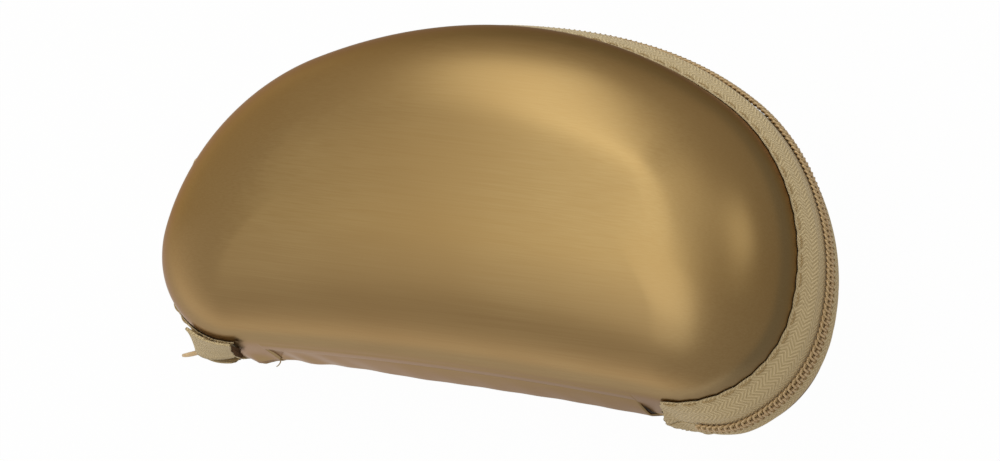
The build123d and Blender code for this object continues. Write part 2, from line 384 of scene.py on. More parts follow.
@dataclass(frozen=True)
class HerringboneTape(Finish):
    """Woven polyester tape: matt yarns in ribs that turn back every column, so it shows small
    zigzags along its length. Real ribs are about 0.75 mm apart, and these are drawn a little
    coarser, so that they show."""

    name: str = "woven_polyester_tape"
    colour: str = "#D8C49C"
    # the deeper tone is painted shade in the grooves between the ribs, mixed with the fibres'
    # random tone
    deep: str = "#B9A47A"
    bump: Pair = (0.6, 0.12 * MM)
    rib: float = 0.95 * MM
    column: float = 1.5 * MM
    yarn: float = 0.4 * MM
    fuzz: float = 1.4  # weight of the yarns' fibres against that of the ribs
    stray: float = 0.35 * MM  # how far a rib wanders
    stray_length: float = 2.5 * MM  # and over what length

    def pattern(self, tree: Tree) -> tuple[Socket, Socket, dict]:
        """Ribs are a sine of the distance along plus a zigzag across, and fibres roughen them. The
        tone follows that relief, so the grooves are darker as painted shade.

        Args:
            tree: where the nodes go.

        Returns:
            The share of the lighter tone, the height of the relief, and the shader's inputs.
        """
        surface = add_node(tree, "TexCoord").outputs["UV"]
        parts = add_node(tree, "SeparateXYZ", {0: surface})
        coarse = {"Vector": surface, "Scale": 1 / self.stray_length, "Detail": 2.0}
        wobble = add_node(tree, "TexNoise", coarse).outputs[0]
        zigzag = add_node(tree, "Math", {0: parts.outputs[1], 1: self.column}, operation="PINGPONG")
        added = {0: wobble, 1: self.stray, 2: zigzag.outputs[0]}
        drift = add_node(tree, "Math", added, operation="MULTIPLY_ADD").outputs[0]
        slanted = add_node(tree, "Math", {0: parts.outputs[0], 1: drift}, operation="ADD")
        scaled = {0: slanted.outputs[0], 1: 2 * math.pi / self.rib}
        turns = add_node(tree, "Math", scaled, operation="MULTIPLY").outputs[0]
        ribs = add_node(tree, "Math", {0: turns}, operation="SINE").outputs[0]
        fine = {"Vector": surface, "Scale": 1 / self.yarn, "Detail": 4.0}
        fibres = add_node(tree, "TexNoise", fine).outputs[0]
        added = {0: fibres, 1: self.fuzz, 2: ribs}
        relief = add_node(tree, "Math", added, operation="MULTIPLY_ADD").outputs[0]
        # the tone follows the relief: painted shade in the ribs' grooves, and the fibres' own
        # random tone
        share = add_node(tree, "MapRange", {"Value": relief, "From Min": -0.5, "From Max": 1.5})
        inputs = {"Roughness": 0.8, "Sheen Weight": 0.25, "Sheen Roughness": 0.4}
        return share.outputs[0], relief, inputs


@dataclass(frozen=True)
class SpunThread(Finish):
    """Twisted or extruded polyester filament: fine fibres, with a faint gloss along it."""

    name: str = "polyester_thread"
    colour: str = "#C4AC7E"
    deep: str = "#93794E"
    bump: Pair = (0.3, 0.05 * MM)
    roughness: float = 0.55
    grain: float = 0.5 * MM

    def pattern(self, tree: Tree) -> tuple[Socket, Socket, dict]:
        """Fibres are both the tone and the relief.

        Args:
            tree: where the nodes go.

        Returns:
            The share of the lighter tone, the height of the relief, and the shader's inputs.
        """
        place = add_node(tree, "TexCoord").outputs["Object"]
        fine = {"Vector": place, "Scale": 1 / self.grain, "Detail": 3.0}
        fibres = add_node(tree, "TexNoise", fine).outputs[0]
        return fibres, fibres, {"Roughness": self.roughness}


@dataclass(frozen=True)
class KnitLining(Finish):
    """Brushed warp-knit lining, laminated to the foam: matt and soft, with a fine ribbed grain."""

    name: str = "brushed_knit_lining"
    colour: str = "#4A4036"
    deep: str = "#332C25"
    bump: Pair = (0.3, 0.1 * MM)
    rib: float = 0.8 * MM
    nap: float = 0.6 * MM
    wave_bands: int = 3  # about as many as the wave pattern has in one unit of its scale

    def pattern(self, tree: Tree) -> tuple[Socket, Socket, dict]:
        """The nap is the tone, and ribs with the nap on them are the relief.

        Args:
            tree: where the nodes go.

        Returns:
            The share of the lighter tone, the height of the relief, and the shader's inputs.
        """
        place = add_node(tree, "TexCoord").outputs["Object"]
        bands = {"Vector": place, "Scale": 1 / self.rib / self.wave_bands}
        ribs = add_node(tree, "TexWave", bands | {"Distortion": 1.0, "Detail": 2.0}).outputs[1]
        fine = {"Vector": place, "Scale": 1 / self.nap, "Detail": 4.0}
        nap = add_node(tree, "TexNoise", fine).outputs[0]
        relief = add_node(tree, "Math", {0: ribs, 1: nap}, operation="ADD")
        return nap, relief.outputs[0], {"Roughness": 0.95, "Sheen Weight": 0.4}


@dataclass(frozen=True)
class PlatedZinc(Finish):
    """Die-cast zinc, barrel-plated in pale gold: a hard shine with faint tumbling marks."""

    name: str = "gold_plated_zinc"
    colour: str = "#C9AC72"
    deep: str | None = None
    bump: Pair = (0.08, 0.05 * MM)
    roughness: Pair = (0.18, 0.38)  # of the faintest and the strongest marks
    grain: float = 1.2 * MM

    def pattern(self, tree: Tree) -> tuple[None, Socket, dict]:
        """Marks change the roughness and the relief, and the colour is even.

        Args:
            tree: where the nodes go.

        Returns:
            No tone, the height of the relief, and the shader's inputs.
        """
        place = add_node(tree, "TexCoord").outputs["Object"]
        fine = {"Vector": place, "Scale": 1 / self.grain, "Detail": 5.0}
        marks = add_node(tree, "TexNoise", fine).outputs[0]
        span = {"Value": marks, "To Min": self.roughness[0], "To Max": self.roughness[1]}
        rough = add_node(tree, "MapRange", span)
        return None, marks, {"Metallic": 1.0, "Roughness": rough.outputs[0]}


# ---------------------------------------------------------------------------------------
# The half-moon outline, which everything follows


@dataclass(frozen=True)
class HalfMoon:
    """Plan outline of the shells: arcs that meet in line, from the right end of the hinge wall
    round the curved side to its left end, and then the hinge wall itself."""

    length: float = 161.4 * MM
    width: float = 83.0 * MM
    corner: float = 24.3 * MM  # radius at each end of the hinge wall
    side: float = 51.7 * MM  # radius beside it, before the long front arc
    bow: float = 1.5 * MM  # of the hinge wall, at its middle
    least_corner: float = 6.0 * MM  # of the outlines far inside
    ease: float = 3.0 * MM  # distance over which the corner gets there
    packed: int = 12  # points packed round each end of the hinge's notch
    packed_span: float = 2.2  # they are spaced as the sinh of even numbers this far each way
    packed_scale: float = 0.16 * MM  # times this

    def arcs(self, inset: np.ndarray) -> np.ndarray:
        """Outlines that lie inside the plan, each by its own inset.

        Near the edge each is a true offset of the plan. Further in, the corner radius eases
        to its least value, as a soft maximum of that and (corner - inset), and the side
        radius gives up as much as the corner keeps, so that the arcs still meet in line.

        Args:
            inset: (rows) distances inside the plan.

        Returns:
            (rows, 6, 5): centre x, centre y, radius, start and end angle of each arc.
        """
        room = (self.corner - self.least_corner - inset) / self.ease
        corner = self.least_corner + self.ease * np.logaddexp(0, room)
        side = self.corner + self.side - 2 * inset - corner
        corner_x = self.length / 2 - inset - corner
        side_x = self.length / 2 - inset - side
        centre_y = -self.width / 2 + inset + corner
        slack = self.width / 2 - inset - centre_y - side
        drop = (side_x**2 - slack**2) / (2 * slack)
        turn = np.arctan2(drop, side_x)
        edge_x = self.length / 2 - self.corner
        bow = (edge_x**2 / self.bow + self.bow) / 2 - self.corner + inset
        lean = np.arcsin(corner_x / (bow + corner))
        bow_y = centre_y - np.sqrt((bow + corner) ** 2 - corner_x**2)
        zero, half = np.zeros_like(inset), np.full_like(inset, np.pi)
        rows = (
            (corner_x, centre_y, corner, -half / 2 - lean, zero),
            (side_x, centre_y, side, zero, turn),
            (zero, centre_y - drop, slack + drop + side, turn, half - turn),
            (-side_x, centre_y, side, half - turn, half),
            (-corner_x, centre_y, corner, half, 3 * half / 2 + lean),
            (zero, bow_y, bow, half / 2 + lean, half / 2 - lean),
        )
        return np.stack([np.stack(row, -1) for row in rows], 1)

    def columns(self, pitch: float, dense: float) -> tuple[np.ndarray, np.ndarray]:
        """Where points lie round an outline, packed closely near two places on the hinge wall.

        Args:
            pitch: distance between points on the plan itself.
            dense: distance from the middle of the hinge wall to the closely packed places.

        Returns:
            The arc that each point is on, and its share of the way along that arc.
        """
        arcs = self.arcs(np.zeros(1))[0]
        lengths = arcs[:, 2] * np.abs(arcs[:, 4] - arcs[:, 3])
        begins = np.concatenate([[0], np.cumsum(lengths)])
        even = np.linspace(0, begins[-1], int(begins[-1] / pitch), endpoint=False)
        middle = (begins[5] + begins[6]) / 2
        near = np.linspace(-self.packed_span, self.packed_span, self.packed)
        near = np.sinh(near) * self.packed_scale
        along = np.sort(np.concatenate([even, middle - dense + near, middle + dense + near]))
        which = np.clip(np.searchsorted(begins, along, side="right") - 1, 0, 5)
        return which, (along - begins[which]) / lengths[which]

    def outlines(self, inset: np.ndarray, which: np.ndarray, share: np.ndarray) -> np.ndarray:
        """Points of the outlines inside the plan: centre + radius * (cos, sin) of the angle.

        Args:
            inset: (rows) distances inside the plan.
            which: (columns) the arc that each point is on.
            share: (columns) the share of the way along that arc.

        Returns:
            (rows, columns, 2) places.
        """
        x, y, radius, start, end = np.moveaxis(self.arcs(inset)[:, which], -1, 0)
        angle = start + (end - start) * share
        return np.stack([x + radius * np.cos(angle), y + radius * np.sin(angle)], -1)


@dataclass(frozen=True)
class TapePath:
    """The way round the curved side that both tapes follow, from the right tip to the left."""

    plan: HalfMoon = HalfMoon()
    clearance: float = 0.05 * MM
    standoff: float = 2.1 * MM  # where the slider runs at rest
    right_fullness: float = 0.6 * MM  # more than that on the right side
    right_span: Pair = (0.13, 0.16)  # its middle, and how far each way, as shares of the path
    front_fullness: float = 1.25 * MM  # and where the right side turns into the front
    front_span: Pair = (0.36, 0.15)
    end_standoff: float = 0.1 * MM
    edge: float = 9.7 * MM  # height of the sewn edge, above the parting plane
    end_edge: float = 3.4 * MM  # and how much higher the lid's is at the tips
    edge_climb: float = 1.5  # power of the way by which it gets there
    lid_hang: float = 4.5 * MM  # height below which the lid's tape hangs straight down
    base_hang: float = 6.0 * MM
    right_rise: Pair = (math.radians(-2), math.radians(32))  # turn over which the standoff grows
    left_rise: Pair = (math.radians(22), math.radians(88))  # and from the left tip back

    def stretches(self) -> np.ndarray:
        """The five arcs of the path, cut at the two tips.

        Returns:
            (5, 5): centre x, centre y, radius, start and end angle of each arc.
        """
        arcs = self.plan.arcs(np.zeros(1))[0, :5]
        arcs[0, 3] = -math.pi / 2
        arcs[4, 4] = 3 * math.pi / 2
        return arcs

    def length(self, offset: float) -> float:
        """Length of the path at this distance out from the shell."""
        arcs = self.stretches()
        return float(((arcs[:, 2] + offset) * (arcs[:, 4] - arcs[:, 3])).sum())

    def at(self, along: np.ndarray, offset: float) -> tuple[np.ndarray, np.ndarray, np.ndarray]:
        """Places on the shell's wall under points at a distance along the path.

        Args:
            along: distances from the right tip, measured at the offset.
            offset: distance out from the shell where they are measured.

        Returns:
            Places on the wall (n, 2), outward directions (n, 2), and the tape's standoff (n),
            which eases from the tips' value to the full one as the corners turn.
        """
        arcs = self.stretches()
        lengths = (arcs[:, 2] + offset) * (arcs[:, 4] - arcs[:, 3])
        begins = np.concatenate([[0], np.cumsum(lengths)[:-1]])
        which = np.clip(np.searchsorted(begins, along, side="right") - 1, 0, 4)
        x, y, radius, start, _ = arcs[which].T
        angle = start + (along - begins[which]) / (radius + offset)
        out = np.stack([np.cos(angle), np.sin(angle)], -1)
        (low, high), (left_low, left_high) = self.right_rise, self.left_rise
        rise = smooth((angle + math.pi / 2 - low) / (high - low))
        rise *= smooth((3 * math.pi / 2 - angle - left_low) / (left_high - left_low))
        share = along / lengths.sum()
        right, front = (
            smooth(1 - abs(share - middle) / span)
            for middle, span in (self.right_span, self.front_span)
        )
        full = self.standoff + self.right_fullness * right + self.front_fullness * front
        standoff = self.end_standoff + (full - self.end_standoff) * rise
        return np.stack([x, y], -1) + radius[:, None] * out, out, standoff

    def hang(self, half: Half) -> float:
        """Height below which a half's tape hangs straight down."""
        return self.lid_hang if half is Half.LID else self.base_hang

    def edge_at(self, along: np.ndarray, half: Half) -> np.ndarray:
        """Height of the sewn edge, where the lid's climbs over the corners as a power of the
        share of the quarter turn that is left before the tip.

        Args:
            along: distances from the right tip.
            half: whose tape it is.

        Returns:
            Heights above the parting plane.
        """
        quarter = self.plan.corner * math.pi / 2
        left = np.clip(1 - np.minimum(along, self.length(0) - along) / quarter, 0, 1)
        return self.edge + (self.end_edge if half is Half.LID else 0.0) * left**self.edge_climb


def lifted(
    wall: np.ndarray, out: np.ndarray, off: np.ndarray, up: float | np.ndarray
) -> np.ndarray:
    """Places at a distance off the wall and a height above the parting plane.

    Args:
        wall: (..., 2) places on the wall.
        out: (..., 2) outward directions.
        off: (...) distances off the wall.
        up: heights, one for all or one for each.

    Returns:
        (..., 3) places.
    """
    flat = wall + out * off[..., None]
    return np.concatenate([flat, np.broadcast_to(up, off.shape)[..., None] + PARTING], -1)


@dataclass(frozen=True)
class Tuck:
    """How the base's hinge side and left corner are drawn in under the lid."""

    amount: float = 4.2 * MM
    depth: float = 26 * MM  # below the parting plane, by which it has faded out again
    side: float = -17 * MM  # Y at which it starts towards the hinge
    side_fade: float = 18 * MM  # and how far it takes
    right: float = 52 * MM  # X at which it has faded out
    right_fade: float = 7 * MM

    def drawn_in(self, points: np.ndarray) -> np.ndarray:
        """Moves points along Y by half a wave of their depth below the parting plane, which
        fades out towards the curved side and past the right end of the hinge.

        Args:
            points: (..., 3) points of the base or the hinge strip.

        Returns:
            The moved points.
        """
        made = points.copy()
        x, y, depth = made[..., 0], made[..., 1], PARTING - made[..., 2]
        wave = np.sin(math.pi * np.clip(depth / self.depth, 0, 1))
        fade = smooth((self.side - y) / self.side_fade) * smooth((self.right - x) / self.right_fade)
        made[..., 1] = y + self.amount * wave * fade
        return made


def on_half(points: np.ndarray, half: Half) -> np.ndarray:
    """Points of a lid piece, or their tucked mirror image below the parting plane.

    Args:
        points: (..., 3) points as they lie on the lid.
        half: the half that they are for.

    Returns:
        The points on that half.
    """
    if half is Half.LID:
        return points
    return Tuck().drawn_in(points * [1, 1, -1] + [0, 0, 2 * PARTING])


# ---------------------------------------------------------------------------------------
# Sub-assemblies


@dataclass
class Shell:
    """One moulded half: a film skin that turns over the rim, and a lining inside the foam."""

    half: Half
    plan: HalfMoon = HalfMoon()
    depth: float = 30 * MM
    run: float = 34 * MM  # how far in the shoulder reaches
    rise: float = 0.663  # power of the shoulder's sine, for its height
    roll: float = 1.3  # power of its cosine, for its reach
    wall_slack: float = 1.9 * MM  # part of that reach that the upright wall takes up
    wall_soft: float = 1.2 * MM  # how softly the wall turns into the shoulder
    rim: float = 0.5 * MM  # above the parting plane
    wall_top: float = 12 * MM
    thickness: float = 4.4 * MM
    skin: float = 0.7 * MM
    lining: float = 0.6 * MM
    lining_gap: float = 0.05 * MM  # between it and the skin's turned edge
    lining_rim: float = 0.1 * MM  # above the skin's own rim
    draft: float = 0.0  # how much the walls draw in, by half way up
    crown: float = 0.0  # how far the face falls towards its ends, as the square of the way
    crown_middle: float = 0.15  # share of that by which its middle rises
    crown_across: float = 0.4  # and the fall across it, as a share of the fall along it
    blend: float = 9 * MM  # each side of the face's edge, where it turns into the shoulder
    notch_half: float = 48.8 * MM  # half the length of the cut in the rim for the strip
    notch_height: float = 9 * MM  # of its top, above the parting plane
    notch_edge: float = 0.35 * MM  # over which the cut's ends rise
    pucker: Triple = (-53.6 * MM, -1.15 * MM, PARTING)  # X, push along Y, and Z of a pucker
    pucker_size: Pair = (2.4 * MM, 3 * MM)  # along X and Z: the left end of the strip pulls there
    pitch: float = 1.3 * MM
    wall_rows: int = 12
    shoulder_rows: int = 46
    face_rows: int = 12

    def profile(self) -> tuple[np.ndarray, np.ndarray]:
        """Inset and height from rim to the edge of the face.

        The height is the depth times a power of sin(a), and the inset is the run times
        1 - a power of cos(a), less the wall's slack with a soft corner. Near the face the
        height is the depth less the drop.

        Returns:
            (rows) insets and (rows) heights.
        """
        walls = np.linspace(self.rim, self.wall_top, self.wall_rows)
        low = np.arcsin((walls / self.depth) ** (1 / self.rise))
        high = np.linspace(low[-1], math.pi / 2, self.shoulder_rows + 1)[1:]
        a = np.concatenate([low, high])
        height = self.depth * np.sin(a) ** self.rise
        reach = self.run * (1 - np.cos(a).clip(0) ** self.roll) - self.wall_slack
        inset = (reach + np.sqrt(reach**2 + self.wall_soft**2)) / 2
        left = reach[-1] - reach
        height = np.where(left < self.blend, self.depth - self.drop(left), height)
        return inset - inset[0] + self.draft * smooth(height / self.depth * 2), height

    def drop(self, left: np.ndarray) -> np.ndarray:
        """How far the surface lies below the middle of the face.

        Args:
            left: distance still to go inwards to the face, negative on the face itself.

        Returns:
            The profile's own drop, with the distance eased to 0 by a parabola over the blend.
        """
        eased = np.clip(left + self.blend, 0, 2 * self.blend) ** 2 / (4 * self.blend)
        cos_squared = (eased / self.run) ** (2 / self.roll)
        return self.depth * (1 - (1 - cos_squared) ** (self.rise / 2))

    def rings(self, off: float, rim_lift: float = 0.0) -> np.ndarray:
        """Rings of points from the rim to near the middle of the face.

        Each is the plan's outline at the profile's inset, raised to the profile's height, and
        the face shrinks the last one towards its middle. The crown then moves each point by
        a fall as the square of its place, which grows as the fourth power of its height.

        Args:
            off: how far inside the outer face the surface lies, along its slope.
            rim_lift: extra height of the rim row alone.

        Returns:
            (rows, columns, 3) points of the lid's half.
        """
        inset, height = self.profile()
        slope = np.stack([np.gradient(height), -np.gradient(inset)], -1)
        slope /= np.linalg.norm(slope, axis=1)[:, None]
        inset = inset + off * slope[:, 0]
        height = height + off * slope[:, 1]
        height[0] = self.rim + rim_lift
        flat = self.plan.outlines(inset, *self.plan.columns(self.pitch, self.notch_half))
        body = np.concatenate([flat, self.notched(flat[0], height)[..., None]], -1)
        edge, middle = body[-1], np.array([0, 0, body[-1, 0, 2]])
        shrink = np.linspace(1, 0, self.face_rows + 1)[1:-1, None, None]
        face = middle + (edge - middle) * shrink
        gaps = np.linalg.norm(face[:, :, None, :2] - edge[:, :2], axis=-1).min(2)
        face[..., 2] += self.drop(np.zeros(1)) - self.drop(-gaps)
        rings = np.concatenate([body, face])
        away = (rings[..., 0] * 2 / self.plan.length) ** 2
        away += self.crown_across * (rings[..., 1] * 2 / self.plan.width) ** 2
        raised = ((rings[..., 2] - PARTING) / self.depth) ** 4
        rings[..., 2] += self.crown * (self.crown_middle - away) * raised
        return rings

    def notched(self, rim: np.ndarray, height: np.ndarray) -> np.ndarray:
        """Heights of every point, the lower rows lifted where the rim is cut for the strip.

        Args:
            rim: (columns, 2) places of the rim's points.
            height: (rows) heights without the cut.

        Returns:
            (rows, columns) heights in the shared frame.
        """
        inside = smooth((self.notch_half - np.abs(rim[:, 0])) / self.notch_edge)
        at_hinge = rim[:, 1] < -self.plan.width / 2 + self.plan.corner / 2
        foot = height[0] + (self.notch_height - self.rim) * inside * at_hinge
        share = np.clip((height - height[0]) / (self.wall_top - height[0]), 0, 1)[:, None]
        low = foot + share * (self.wall_top - foot)
        return PARTING + np.where(height[:, None] < self.wall_top, low, height[:, None])

    def build(self, film: Material, knit: Material) -> list[bpy.types.Object]:
        """Makes the skin and the lining, in place of the moulded half's solid.

        Args:
            film: finish of the skin.
            knit: finish of the lining.

        Returns:
            Both pieces.
        """
        core = self.thickness - self.lining
        edge = [self.rings(core)[:1], self.rings(core, self.skin)[:1]]
        outer, inner = self.rings(0), self.rings(self.skin, self.skin)
        skin = self.layer("skin", [outer[::-1], *edge, inner], film, "gold_cloth_shell")
        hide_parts(f"{self.half.value}_shell")
        back = self.rings(core + self.lining_gap, self.lining_rim)
        front = self.rings(self.thickness, self.lining_rim)
        return [skin, self.layer("lining", [back[::-1], front], knit, "lining")]

    def layer(
        self, what: str, rings: list[np.ndarray], material: Material, slot: str
    ) -> bpy.types.Object:
        """Makes one layer, closed at the middle of the face, and puts it on its body.

        Args:
            what: which layer it is.
            rings: stacks of rings, from the middle of one side over the rim to the other.
            material: its finish.
            slot: not used.

        Returns:
            The piece.
        """
        points, faces = closed_stack(np.concatenate(rings))
        points = on_half(points, self.half)
        (x, push, z), (length, height) = self.pucker, self.pucker_size
        near = ((points[:, 0] - x) / length) ** 2 + ((points[:, 2] - z) / height) ** 2
        points[:, 1] += push * np.exp(-near)
        piece = make_piece(f"{self.half.value}_{what}", points, faces, material)
        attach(piece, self.half.value)
        return piece


@dataclass
class HingeStrip:
    """The fabric-backed strip across the notch: it folds at its middle and at both creases."""

    plan: HalfMoon = HalfMoon()
    half_length: float = 48.4 * MM
    crease: float = 9.0 * MM
    recess: float = 0.3 * MM  # of its face behind the shell's, at the crease
    proud: float = 0.9 * MM  # of the fold, in front of the shell's wall
    fold: float = 0.8  # power of the fold's cosine: below 1 it is fuller than a plain one
    drawn_in: float = 1.2 * MM  # how much less proud it is at the left end
    drawn_span: Pair = (3 * MM, 42 * MM)  # how far left of the middle that starts, and its length
    pucker: Pair = (0.08 * MM, 0.4 * MM)  # height of the puckers on the right, and on the left
    pucker_span: Pair = (20 * MM, 25 * MM)  # how far left that grows, as for drawn_span
    ripple: Triple = (2.3 * MM, 5.1 * MM, 3 * MM)  # two lengths of the puckers, and a height
    skin: float = 0.6 * MM
    lining: float = 0.6 * MM
    gap: float = 0.05 * MM  # between the plies
    cut: Pair = (19.9 * MM, 96.8 * MM)  # width and length of each ply, as it was cut
    columns: int = 240
    rows: int = 36

    def surface(self, depth: float) -> np.ndarray:
        """A sheet this deep in the strip: a cosine bulge from crease to crease, with small
        puckers, a product of two sines, that grow towards the left end.

        Args:
            depth: distance behind the strip's outer face.

        Returns:
            (rows, columns, 3) points.
        """
        x = np.linspace(-self.half_length, self.half_length, self.columns)[None, :]
        z = np.linspace(-self.crease, self.crease, self.rows)[:, None]
        corner_x = self.plan.length / 2 - self.plan.corner
        wall = -self.plan.width / 2 + self.plan.bow * (1 - (x / corner_x) ** 2)
        bulge = np.cos(z / self.crease * math.pi / 2) ** self.fold
        (start, span), (low, high) = self.pucker_span, self.pucker
        fine, coarse, tall = self.ripple
        ripple = np.sin(x / fine) * np.sin(x / coarse + z / tall)
        pucker = bulge * ripple * (low + (high - low) * smooth((-x - start) / span))
        start, span = self.drawn_span
        proud = self.proud - self.drawn_in * smooth((-x - start) / span)
        y = wall + self.recess - (self.recess + proud) * bulge + pucker + depth
        return Tuck().drawn_in(np.stack(np.broadcast_arrays(x, y, z + PARTING), -1))

    def build(self, film: Material, knit: Material) -> list[bpy.types.Object]:
        """Makes both plies, which bend from the base to the lid.

        Args:
            film: finish of the outer ply.
            knit: finish of the inner ply.

        Returns:
            Both pieces.
        """
        plies = (
            ("skin", 0.0, self.skin, film, "gold_cloth_shell"),
            ("lining", self.skin + self.gap, self.lining, knit, "lining"),
        )
        pieces = []
        for what, depth, thickness, material, slot in plies:
            loops = np.concatenate([self.surface(depth), self.surface(depth + thickness)[::-1]])
            points, faces = capped_tubes(loops.transpose(1, 0, 2))
            piece = make_piece(f"hinge_strip_{what}", points, faces, material)
            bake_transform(piece)
            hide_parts(f"hinge_{what}")
            pieces.append(piece)
        return pieces


@dataclass
class ZipTape:
    """One woven tape: sewn to the shell along its upper edge, where each stitch pulls it in,
    and standing off along its lower edge, where the slider runs behind it."""

    half: Half
    path: TapePath = TapePath()
    thickness: float = 0.6 * MM
    edge_thickness: float = 0.12 * MM  # of the sewn edge
    edge_share: float = 1 / 5  # of the width, over which it thickens
    parting: float = 0.35 * MM  # of the lower edge above the parting plane
    lower_round: float = 0.1 * MM  # how much lower the middle of that edge is
    cut: Pair = (11.0 * MM, 301.3 * MM)  # width and length of the tape, as it was cut
    stitch: float = 4.4 * MM
    dip: float = 0.35 * MM  # of the sewn edge where the needle went in
    puff: float = 0.15 * MM  # of the cloth between, just below the edge
    puff_share: float = 1 / 6  # of the width, at which it is fullest
    step: float = 0.35 * MM  # between columns of points
    section_rows: int = 16
    section_power: float = 1.15  # rows lie a little closer towards the sewn edge
    right_slant: float = 3.5 * MM  # how much further the lower edge reaches at the right cut
    left_slant: float = 4.6 * MM  # and how much less at the left one
    left_reach: float = 1.6 * MM  # of the sewn edge, past the left tip
    slant_reach: float = 9 * MM  # of the columns that lean over with a cut
    slant_power: float = 1.5
    flare: float = 1.5 * MM  # of the right cut, off the wall
    fray: float = 0.3 * MM  # how uneven the cuts are
    seed: int = 4

    def grid(self) -> tuple[np.ndarray, np.ndarray]:
        """Distance along the path and share of the way down the tape, for every point.

        The columns run square to the path, and lean over near each end so that the cut
        follows its own slant, with a little unevenness from row to row.

        Returns:
            (columns, rows) distances and (columns, rows) shares.
        """
        total = self.path.length(0)
        even = np.linspace(0, total, int(total / self.step))[:, None]
        down = np.linspace(0, 1, self.section_rows)[None, :] ** self.section_power
        draw = np.random.default_rng(self.seed)
        rough = draw.uniform(-self.fray, self.fray, (2, self.section_rows))
        right = -self.right_slant * down + rough[:1]
        left = self.left_reach - self.left_slant * down + rough[1:]
        lean_right = np.clip(1 - even / self.slant_reach, 0, 1) ** self.slant_power
        lean_left = np.clip(1 - (total - even) / self.slant_reach, 0, 1) ** self.slant_power
        along = even + right * lean_right + left * lean_left
        return along, np.broadcast_to(down, along.shape)

    def build(self, woven: Material) -> list[bpy.types.Object]:
        """Makes the tape as one loop of points carried along its path.

        The tape leaves the wall on an ease curve, thins to its sewn edge, and that edge is
        pulled in once a stitch.

        Args:
            woven: its finish.

        Returns:
            The one piece.
        """
        along, down = self.grid()
        found = self.path.at(along.ravel(), 0)
        wall, out, standoff = (part.reshape(*along.shape, -1) for part in found)
        standoff = standoff[..., 0] + self.flare * smooth(-along / self.right_slant)
        pull = (0.5 - 0.5 * np.cos(2 * np.pi * along / self.stitch)) ** 0.5
        edge = self.path.edge_at(along, self.half)
        top = edge - self.dip * (1 - pull)
        up = top + (self.parting - top) * down
        ease = smooth((edge - up) / (edge - self.path.hang(self.half)))
        near_edge = np.clip(1 - down / self.edge_share, 0, 1)
        thick = self.thickness + (self.edge_thickness - self.thickness) * near_edge
        back = self.path.clearance + standoff * ease
        below = down / self.puff_share
        front = back + thick + self.puff * pull * smooth(below) * smooth(2 - below)
        off = np.concatenate([back, (back + front)[:, -1:] / 2, front[:, ::-1]], 1)
        height = np.concatenate([up, up[:, -1:] - self.lower_round, up[:, ::-1]], 1)
        rows = np.arange(self.section_rows)
        turn = np.concatenate([rows, rows[-1:], rows[::-1]])
        points, faces = capped_tubes(lifted(wall[:, turn], out[:, turn], off, height))
        typical = 200  # a column well away from both ends
        steps = np.hypot(np.diff(off[typical]), np.diff(height[typical]))
        across = np.concatenate([[0], np.cumsum(steps)])
        uv = np.stack(np.broadcast_arrays(along[:, turn], across[None, :]), -1)
        body = self.half.value
        points = on_half(points, self.half)
        piece = make_piece(f"{body}_zip_tape", points, faces, woven, uv)
        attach(piece, body)
        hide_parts(f"{body}_tape")
        return [piece]


